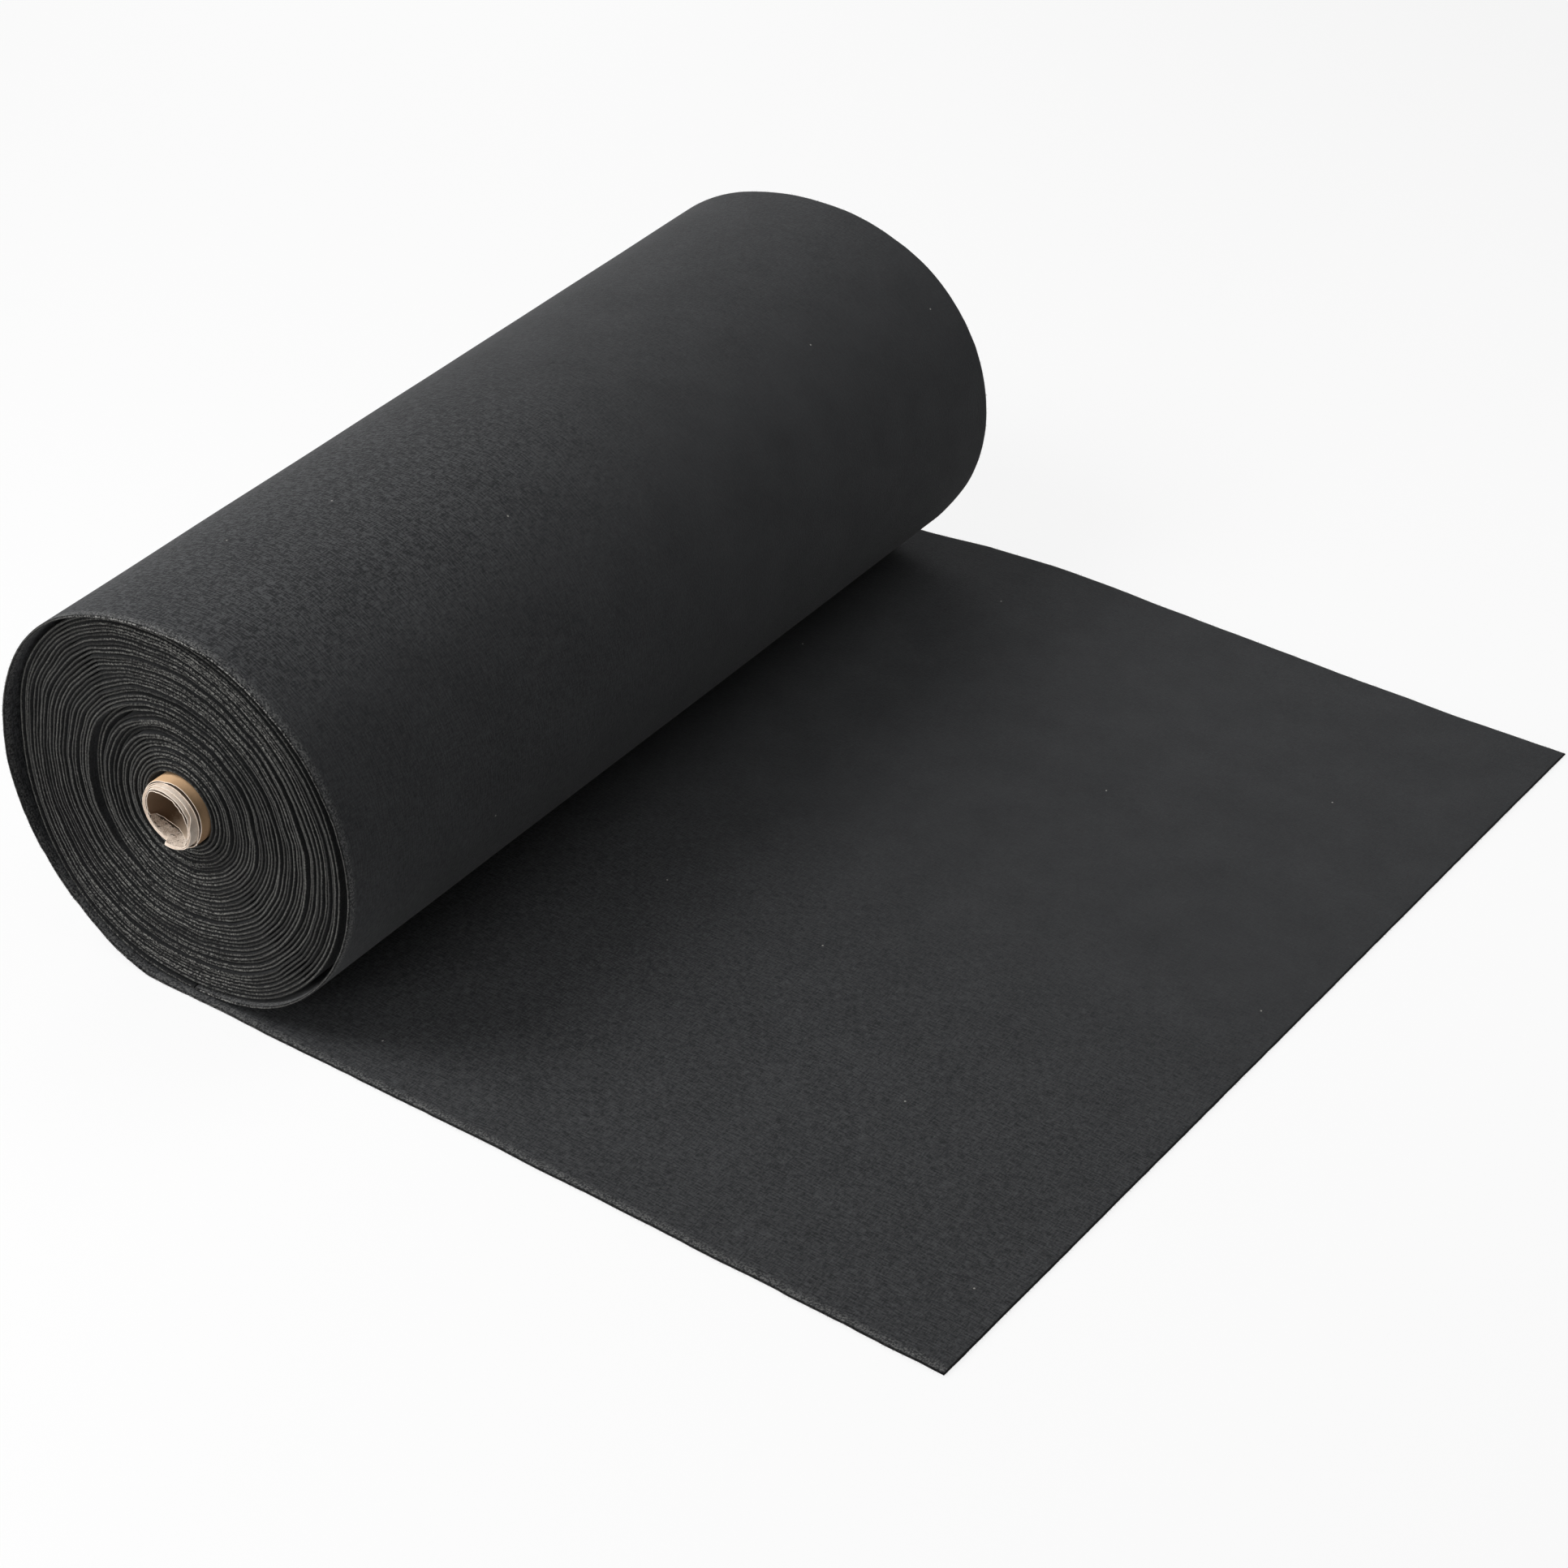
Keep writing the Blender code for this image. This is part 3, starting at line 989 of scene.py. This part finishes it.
@dataclass
class WoundWeb:
    """The wound roll: one unbroken spiral of felt, loose in places, with uneven edges.

    Each sag has the angle where the outer loops sag, how far round it reaches, and its depth.
    The spans say where a change starts and ends: in turns for recess_width, in metres from the
    innermost or outermost loop for the depths, and elsewhere in shares of the way to a side.
    """

    inner_radius: float = 0.0343
    outer_radius: float = 0.1742
    turns: int = 40
    thickness: float = 0.0025
    rounding: float = 0.46
    near_y: float = -0.4822
    far_y: float = 0.4612
    dish: float = 0.0082
    step: float = 0.0052
    calm_margin: float = 0.02
    looseness: float = 0.0030
    loose_spacing: float = 0.040
    own_looseness: float = 0.0016
    own_spacing: float = 0.3
    gap: float = 0.0034
    gap_turn: float = 15.5
    gap_ease: float = 0.3
    gap_radius: float = 0.086
    gap_left: Span = (0.25, 1.0)
    left_degrees: float = 165.0
    recessed_turns: Span = (10.9, 16.2)
    recess_width: Span = (1.1, 0.5)
    recess_left: Span = (0.0, 0.9)
    set_back: float = 0.0050
    upper_left: Span = (-0.866, 0.5)
    upper_left_rise: Span = (0.0, 0.9)
    left_set_back: float = 0.0034
    left_depths: Span = (0.03, 0.006)
    down: Span = (0.087, -0.996)
    down_rise: Span = (0.1, 0.9)
    lower_set_forward: float = 0.0050
    lower_depth: float = 0.05
    collar: float = 0.0042
    collar_depths: Span = (0.016, 0.002)
    sags: tuple[tuple[float, float, float], ...] = (
        (-43, 38, 0.0038), (222, 45, 0.0042), (133, 40, 0.0045),
    )
    sag_depth: float = 0.04
    drift: float = 0.0060
    drift_spacing: float = 0.85
    drift_depth: float = 0.006
    jitter: float = 0.0014
    jitter_spacing: float = 0.16
    fray: float = 0.0014
    frays_per_metre: float = 260
    rim_widths: Span = (0.0011, 0.00005)
    tail_drop: float = 0.0030
    tail_turns: float = 0.13

    @property
    def pitch(self) -> float:
        """Metres from turn to turn."""
        return (self.outer_radius - self.inner_radius) / self.turns

    @property
    def length(self) -> float:
        """Metres of web in the roll."""
        return math.pi * (self.outer_radius**2 - self.inner_radius**2) / self.pitch

    def sizes(self) -> Sizes:
        """The tree's inputs. The spiral's steps end where the outer turn starts."""
        steps = int(self.length / self.step)
        return {
            "Points": steps + 1, "Step": self.length / steps,
            "Inner Radius": self.inner_radius, "Pitch": self.pitch,
            "Thickness": self.thickness, "Width": self.far_y - self.near_y,
            "Looseness": self.looseness, "Gap": self.gap, "Dish": self.dish,
            "Set Back": self.set_back, "Drift": self.drift, "Jitter": self.jitter,
            "Tail Drop": self.tail_drop, "Axis Height": AXIS_HEIGHT,
            "Middle": (self.near_y + self.far_y) / 2,
        }

    def wound_at(self, nodes: GrowthTree, run: Value) -> list[Value]:
        """Where the web stands after so many metres.

        Args:
            nodes: The tree.
            run: Metres along the web from the core.

        Returns:
            Radius, turns, the two numbers of the direction, and the share to the left.
        """
        start, pitch = nodes.given("Inner Radius"), nodes.given("Pitch")
        radius = (start * start + pitch * run / math.pi).root()
        turn = (radius - start) / pitch
        angle = turn * math.tau - math.pi / 2
        x, z = angle.cos(), angle.sin()
        return [radius, turn, x, z, toward(x, z, direction(self.left_degrees))]

    def spiral(self, nodes: GrowthTree) -> Socket:
        """Winds the web's middle line: loose, sagging outside, and with one open gap.

        Args:
            nodes: The tree.

        Returns:
            The line, whose points keep their metres along the web as "run".
        """
        given = nodes.given
        run = Value(nodes, nodes.node("GeometryNodeInputIndex")) * given("Step")
        radius, turn, x, z, left = self.wound_at(nodes, run)
        inner, outer = self.inner_radius, self.outer_radius
        calm = radius.rise(inner, inner + self.calm_margin)
        calm = calm * radius.rise(outer, outer - self.calm_margin)
        place = nodes.vector(radius * x, radius * z, 0.7)
        slack = (nodes.noise(place, 1 / self.loose_spacing, 1) - 0.5) * given("Looseness") * 2
        own = nodes.noise(nodes.vector(run / self.own_spacing, 9.0, 0.0), detail=1) - 0.5
        slack = (slack + own * self.own_looseness) * calm
        outward = radius.rise(inner + self.sag_depth, outer)
        for degrees, reach, depth in self.sags:
            away = toward(x, z, direction(degrees)).rise(math.cos(math.radians(reach)), 1.0)
            slack = slack + outward * away * depth
        opened = turn.rise(self.gap_turn - self.gap_ease, self.gap_turn + self.gap_ease)
        opened = opened * (1 - (radius - self.gap_radius) / (outer - self.gap_radius))
        opened = opened * left.rise(*self.gap_left)
        tail = turn.rise(self.turns - self.tail_turns, self.turns)
        wound = radius + slack + opened * given("Gap") + tail * given("Tail Drop")
        line = nodes.node("GeometryNodeCurvePrimitiveLine", {"End": (1, 0, 0)})
        line = nodes.node("GeometryNodeResampleCurve", {"Curve": line, "Count": given("Points")})
        line = nodes.moved(line, Position=nodes.vector(wound * x, wound * z, 0.0))
        line = nodes.kept(line, "run", "FLOAT", run)
        return nodes.node("GeometryNodeSetCurveNormal", {"Curve": line}, mode="Z_UP")

    def forward(
        self, nodes: GrowthTree, here: Socket, rim: Value, run: Value
    ) -> Value:
        """How far each point of the web stands towards the near end.

        Args:
            nodes: The tree.
            here: Where the point is.
            rim: 1 on a cut edge.
            run: Metres along the web from the core.

        Returns:
            The distance.
        """
        given = nodes.given
        radius, turn, x, z, left = self.wound_at(nodes, run)
        inner, outer = self.inner_radius, self.outer_radius
        first, second = (
            (turn - back).size().rise(*self.recess_width) for back in self.recessed_turns
        )
        recessed = (first + second) * left.rise(*self.recess_left)
        upper_left = toward(x, z, self.upper_left).rise(*self.upper_left_rise)
        lower = toward(x, z, self.down).rise(*self.down_rise)
        slow = nodes.noise(nodes.vector(run / self.drift_spacing, 0.0, 0.0), detail=1) - 0.5
        slow = slow * radius.rise(outer, outer - self.drift_depth)
        quick = nodes.noise(nodes.vector(run / self.jitter_spacing, 3.0, 0.0), detail=2) - 0.5
        fray = nodes.noise(here, self.frays_per_metre, 2, 0.6) - 0.5
        shift = slow * given("Drift") * 2 + quick * given("Jitter") * 2 + fray * rim * self.fray
        shift = shift + (radius - given("Inner Radius")) / (outer - inner) * given("Dish")
        shift = shift - recessed * given("Set Back")
        collar = radius.rise(*(inner + depth for depth in self.collar_depths))
        shift = shift + collar * self.collar
        outermost = radius.rise(*(outer - depth for depth in self.left_depths))
        shift = shift - outermost * upper_left * self.left_set_back
        lower = radius.rise(inner + self.lower_depth, outer) * lower
        return shift + lower * self.lower_set_forward

    def tree(self) -> Tree:
        """Builds the tree that winds the web from its sizes.

        Returns:
            The tree.
        """
        nodes = GrowthTree("wound_web", self.sizes())
        given = nodes.given
        sockets = {"Width": given("Thickness"), "Height": given("Width")}
        profile = nodes.node("GeometryNodeCurvePrimitiveQuadrilateral", sockets)
        sockets = {"Curve": profile, "Count": 2, "Radius": given("Thickness") * self.rounding}
        profile = nodes.node("GeometryNodeFilletCurve", sockets, mode="POLY")
        sockets = {"Curve": self.spiral(nodes), "Profile Curve": profile, "Fill Caps": True}
        web = nodes.node("GeometryNodeCurveToMesh", sockets)
        here = nodes.position()
        level = nodes.split(here)[2]
        half = given("Width") / 2
        rim = (half - level.size()).rise(*self.rim_widths)
        web = nodes.kept(web, "rim", "FLOAT", rim)
        run = nodes.stored("run")
        web = nodes.kept(web, "web", "FLOAT_VECTOR", nodes.vector(run, half - level, 0.0))
        offset = nodes.vector(0.0, 0.0, self.forward(nodes, here, rim, run))
        placed = nodes.node(
            "GeometryNodeTransform",
            {"Geometry": nodes.moved(web, Offset=offset),
             "Translation": nodes.vector(0.0, given("Middle"), given("Axis Height")),
             "Rotation": (math.pi / 2, 0, 0)},
        )
        return nodes.finish(placed)

    def build(self, felt: Finish) -> Piece:
        """Winds the web.

        Args:
            felt: Its finish.

        Returns:
            The wound web.
        """
        return grown("felt_wound_web", self.tree(), self.sizes(), felt)


def stands(angle: np.ndarray, table: Table) -> np.ndarray:
    """How far a torn edge stands out at each angle, from a table in degrees and millimetres."""
    degrees, stand = np.array(table or ((0, 0),)).T
    return np.interp(np.degrees(angle), degrees, stand, period=360) / 1000


def ragged(angle: np.ndarray, seed: float, depth: float) -> np.ndarray:
    """Torn edge: the same noise round the tube on each build."""
    ring = np.stack([np.cos(angle), np.sin(angle), angle * 0 + seed], axis=-1)
    return depth * (0.6 * wander(ring, 0.5, seed) + 0.5 * wander(ring, 0.09, seed + 7))


@dataclass
class Ply:
    """One paper ply of the core, with a torn near end."""

    name: str
    inner_radius: float
    edge: Table
    lift: Table
    lift_reach: float
    fray: float
    seed: float
    thickness: float = 0.0010
    sides: int = 240
    near_y: float = -0.497
    far_y: float = 0.471
    bared_to: Table = ()
    thinning: float = 0.5
    thinning_reach: float = 0.0004
    lip: float = 0.0003
    lip_spacing: float = 0.0012
    depths: tuple[float, ...] = (
        0, 0.0003, 0.0009, *(k / 1000 for k in range(2, 25)), 0.030, 0.06, 0.12, 0.25, 0.5, 0.75, 2.0,
    )

    def build(self, looks: tuple[Finish, ...]) -> Piece:
        """Builds the ply.

        Args:
            looks: Finishes of its outer face, of its torn near end and its far end, of its
                inner face, and of that face where the ply inside it is torn away.

        Returns:
            The ply.
        """
        angle = np.linspace(0, math.tau, self.sides, endpoint=False)[:, None]
        depth = np.array(self.depths)[None, :]
        near = self.near_y - stands(angle, self.edge) + ragged(angle, self.seed, self.fray)
        y = np.minimum(near + depth, self.far_y) + angle * 0
        lift = stands(angle, self.lift) * np.exp(-(y - near) / self.lift_reach)
        taper = 1 - self.thinning * np.exp(-(y - near) / self.thinning_reach)
        middle = self.inner_radius + self.thickness / 2 + lift
        half = self.thickness / 2 * taper
        shells = [
            np.stack([r * np.cos(angle), y, AXIS_HEIGHT + r * np.sin(angle)], axis=2)
            for r in (middle + half, middle - half)
        ]
        lips = []
        for column, out in ((0, -1), (-1, 1)):
            ring = (shells[0][:, column] + shells[1][:, column]) / 2
            ring[:, 1] += out * self.lip * (0.6 + wander(ring, self.lip_spacing, 2.0))
            lips.append(ring)
        points = np.concatenate([*(shell.reshape(-1, 3) for shell in shells), *lips])

        bare = stands(angle, self.bared_to)
        rows, columns = y.shape
        inner, near_lip = rows * columns, 2 * rows * columns
        far_lip = near_lip + rows
        faces, finishes = [], []
        for i in range(rows):
            after = (i + 1) % rows
            for j in range(columns - 1):
                a, b = i * columns + j, after * columns + j
                faces.append((a, a + 1, b + 1, b))
                faces.append((inner + a, inner + b, inner + b + 1, inner + a + 1))
                hidden = 2 if not self.bared_to or y[i, j] > self.near_y - bare[i, 0] else 3
                finishes += [1 if j < 1 else 0, 1 if j < 1 else hidden]
            a, b = i * columns, after * columns
            faces.append((a, b, near_lip + after, near_lip + i))
            faces.append((near_lip + i, near_lip + after, inner + b, inner + a))
            a, b = a + columns - 1, b + columns - 1
            faces.append((b, a, far_lip + i, far_lip + after))
            faces.append((far_lip + after, far_lip + i, inner + a, inner + b))
            finishes += [1] * 4
        mesh = smooth_mesh(self.name, points, faces, 45)
        for material in looks:
            mesh.materials.append(material)
        mesh.polygons.foreach_set("material_index", finishes)
        return link_object(self.name, mesh)


@dataclass
class Core:
    """The paper core: five plies, whose near end is torn in steps rather than cut square.

    Each table goes round the tube in degrees and gives millimetres. The inner plies stand out
    at the right, and the end has a notch at the bottom, where the cut doesn't meet itself.
    """

    bore_radius: float = 0.0254
    ply_pitch: float = 0.0013
    left: Table = ((-180, 0.2), (-150, -0.5), (-123, -1.0), (-106, -1.2), (-104.5, 3.7), (-88, 3.4))
    lower: Table = ((-75, 3.4), (-55, 6.0), (-30, 8.0), (4, 8.2))
    liner: Table = (
        (-180, 0.2), (-162, 0.0), (-157, -6), (-140, -11), (-122, -13), (-105, -14), (-90, -11),
        (-75, -7), (-62, -2), (-50, 5), (-40, 7.6), (0, 8.1), (40, 8.0), (100, 7.3), (118, 5.5),
        (150, 0.7), (165, 0.2),
    )
    first: Table = ((22, 6.6), (60, 6.4), (100, 5.8), (118, 4.4), (150, 0.6), (165, 0.2))
    second: Table = ((20, 4.2), (24, 3.4), (60, 3.2), (100, 2.8), (125, 1.6), (150, 0.4), (165, 0.2))
    third: Table = (
        (-78, 3.0), (-64, 1.5), (-60, -6), (-41.5, -6), (-40, -0.7), (60, -0.8), (95, -1.2),
        (130, -0.3), (165, 0.3),
    )
    wrap: Table = ((-60, -3), (-40, -1.2), (0, -1.2), (90, -1.2), (110, -1.8), (140, -3), (180, -3))
    curl: Table = ((-168, 0), (-157, -1.6), (-140, -2.4), (-100, -2.0), (-62, -0.6), (-50, 0))
    hang: Table = ((-180, 0), (-41.5, 0), (-40, 2.4), (-30, 0.9), (-20, 0))
    flare: Table = ((-180, 0), (-40, 0), (-14, 0.3), (8, 1.7), (24, 2.8), (64, 3.2), (84, 1.8), (96, 0))
    bared: Table = (
        (-180, 9), (-82, 9), (-74, -8), (-66, -20), (-45, -22), (-20, -12), (8, -2), (30, 9), (180, 9),
    )

    def plies(self) -> list[Ply]:
        """The five plies, from the bore outwards.

        Returns:
            The plies, not yet built.
        """
        rows = [
            ("core_liner", self.liner, self.curl, 0.0040, 0.0010),
            ("core_ply_1", self.left + self.lower + self.first, (), 1.0, 0.0005),
            ("core_ply_2", self.left + self.lower + self.second, (), 1.0, 0.0006),
            ("core_ply_3", self.left + self.third, self.hang, 0.0035, 0.0003),
            ("core_wrap", self.wrap, self.flare, 0.0070, 0.0003),
        ]
        plies = [
            Ply(name, self.bore_radius + i * self.ply_pitch, edge, lift, reach, fray, 1.3 + 1.7 * i)
            for i, (name, edge, lift, reach, fray) in enumerate(rows)
        ]
        plies[0].bared_to, plies[1].bared_to = self.bared, self.liner
        return plies


@dataclass(frozen=True)
class Lamp:
    """A soft square lamp that faces the object.

    Its azimuth goes from +X towards +Y and its elevation from the ground up, in degrees. Its
    power is in watts, and its distance in metres from where it aims.
    """

    name: str
    azimuth: float
    elevation: float
    power: float
    distance: float = 3.0
    size: float = 1.4
    aim: Place = (0.25, 0.0, 0.12)

    def hang(self) -> None:
        """Puts the lamp in the scene."""
        data = bpy.data.lights.new(self.name, "AREA")
        data.shape, data.size, data.energy = "SQUARE", self.size, self.power
        a, e = math.radians(self.azimuth), math.radians(self.elevation)
        out = Vector((math.cos(a) * math.cos(e), math.sin(a) * math.cos(e), math.sin(e)))
        lamp = link_object(self.name, data)
        lamp.location = Vector(self.aim) + out * self.distance
        lamp.rotation_euler = out.to_track_quat("Z", "Y").to_euler()


@dataclass
class Studio:
    """Camera, lamps, floor and background: a key lamp at the left, weak lamps all round."""

    lens: float = 75.188
    sensor: float = 36.0
    clip: Span = (0.05, 60)
    place: Place = (1.6234, -2.0347, 1.7023)
    azimuth: float = 33.682
    elevation: float = 34.347
    floor_size: float = 40.0
    floor_level: float = -0.0006
    lamps: tuple[Lamp, ...] = (
        Lamp("key_light", 225, 50, 57), Lamp("low_key_light", 225, 22, 12),
        Lamp("front_light", 262, 12, 34), Lamp("top_light", 0, 90, 6),
        Lamp("far_left_light", 135, 22, 17), Lamp("right_light", 0, 22, 5),
        Lamp("far_right_light", 48, 58, 12, 2.0),
    )

    def camera(self) -> None:
        """Makes the camera at the photograph's viewing angle."""
        a, e = math.radians(self.azimuth), math.radians(self.elevation)
        back = Vector((math.sin(a) * math.cos(e), -math.cos(a) * math.cos(e), math.sin(e)))
        right = Vector((math.cos(a), math.sin(a), 0))
        turned = Matrix((right, back.cross(right), back)).transposed().to_4x4()
        data = bpy.data.cameras.new("camera")
        data.lens, data.sensor_width = self.lens, self.sensor
        data.clip_start, data.clip_end = self.clip
        camera = link_object("camera", data)
        camera.matrix_world = Matrix.Translation(self.place) @ turned
        bpy.context.scene.camera = camera

    def background(self) -> None:
        """Makes the background, which is white to the camera and lights nothing."""
        world = bpy.data.worlds.new("studio_background")
        bpy.context.scene.world = world
        world.use_nodes = True
        nodes = Nodes(world.node_tree)
        sky = world.node_tree.nodes["Background"]
        nodes.feed(sky.inputs["Color"], (1, 1, 1, 1))
        nodes.feed(sky.inputs["Strength"], nodes.seen_ray())

    def floor(self) -> None:
        """Makes the floor, which isn't part of the object."""
        half, z = self.floor_size / 2, self.floor_level
        corners = [(-half, -half, z), (half, -half, z), (half, half, z), (-half, half, z)]
        mesh = bpy.data.meshes.new("floor")
        mesh.from_pydata(corners, [], [(0, 1, 2, 3)])
        mesh.materials.append(StudioFloor().material())
        link_object("floor", mesh)

    def build(self) -> None:
        """Makes the whole studio."""
        self.camera()
        for lamp in self.lamps:
            lamp.hang()
        self.background()
        self.floor()
        bpy.context.scene.view_settings.view_transform = "Standard"


def dress(piece: Piece, body: Body, slot: Slot, nodes: Iterable[str] = ()) -> None:
    """Puts a piece on its body, hides the CAD nodes that it stands for, and logs its faces."""
    if piece.parent is None:
        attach(piece, body.value)
    if nodes:
        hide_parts(*nodes)
    LOG.info("%s: %d faces", piece.name, len(piece.data.polygons))


def build_web() -> None:
    """Builds the sheet, the outer turn and the wound web, with their loose fibres."""
    # The pale cut-edge colours here also carry a painted highlight, and wound_felt's groove share is
    # painted shade between the turns.
    felt = Felt("black_felt", free_end=1.935, pale_fibre_and_highlight=(0.25, 0.247, 0.236), dull=0.6,
                laid_line=0.4, edge_fuzz=0.45).material()
    wound_felt = Felt("wound_felt", pale_fibre_and_highlight=(0.17, 0.168, 0.157), groove_shade=0.75,
                      far_pale=1.0).material()
    fibre_felt = Felt("fibre_felt", dark=(0.03, 0.03, 0.029), light=(0.10, 0.099, 0.094),
                      lint_radius=0.0).material()
    fuzz = Fuzz()
    tree = fuzz.tree()
    laid, turn, roll = LaidSheet(), OuterTurn(), WoundWeb()
    stretches = [
        (laid, felt, Body.SHEET, "laid_sheet", "sheet_fibres", 1.0),
        (turn, felt, Body.TURN, "outer_turn", "outer_turn_fibres", 1.0),
        (roll, wound_felt, Body.ROLL, "wound_web", "wound_web_fibres", 0.12),
    ]
    for stretch, finish, body, node, fibre_name, share in stretches:
        piece = stretch.build(finish)
        fibres = fuzz.on(piece, fibre_name, tree, fibre_felt, share)
        if stretch is laid:
            laid.draw_in(piece)
            laid.draw_in(fibres)
        dress(piece, body, Slot.FELT, [node])
        dress(fibres, body, Slot.FELT)


def build_core() -> None:
    """Builds the torn core and dresses the start tape."""
    cut = Paper("torn_paper", (0.93, 0.83, 0.73), (0.60, 0.48, 0.38), grain=0.0006).material()
    # Bared paper, where the liner is torn off, with painted shade in its small tears.
    bared = Paper("bared_paper", (0.88, 0.77, 0.66), (0.30, 0.21, 0.15), blotch=0.006,
                  contrast=1.5, tears=0.9).material()
    kraft = Paper("kraft_paper", (0.76, 0.49, 0.275), (0.33, 0.19, 0.10), grain=0.0011,
                  blotch=0.012, contrast=0.45, roughness=0.55, bump_depth=0.00006,
                  lit=0.8, lit_from=-0.032, lit_to=-0.004).material()
    bore = Paper("bore_paper", (0.78, 0.64, 0.50), (0.19, 0.12, 0.072), contrast=0.8, lit=1.1,
                 lit_from=-0.001, lit_to=-0.023).material()
    # Painted shade: a dark copy of the core paper for the ply faces in the gaps between plies, such as
    # the slit behind the wrap.
    painted_shade = Paper("shaded_paper", (0.10, 0.065, 0.042), (0.05, 0.032, 0.02)).material()
    looks = [
        ("core_liner_ply", painted_shade, bore), ("core_body_ply_1", cut, painted_shade),
        ("core_body_ply_2", cut, cut), ("core_body_ply_3", painted_shade, cut),
        ("core_wrap_ply", kraft, painted_shade),
    ]
    for ply, (node, outside, inside) in zip(Core().plies(), looks):
        slot = Slot.KRAFT if node == "core_wrap_ply" else Slot.CORE_PAPER
        dress(ply.build((outside, cut, inside, bared)), Body.ROLL, slot, [node])
    tape = Paper("start_tape_paper", (0.58, 0.50, 0.34), (0.50, 0.42, 0.28), contrast=0.5,
                 roughness=0.4).material()
    node = frame["nodes"]["start_tape"]
    node.data.materials.clear()
    node.data.materials.append(tape)


def main() -> None:
    """Builds the object and the studio in order."""
    logging.basicConfig(level=logging.INFO, format="%(name)s %(message)s")
    build_web()
    build_core()
    Studio().build()


if __name__ == "__main__":
    main()
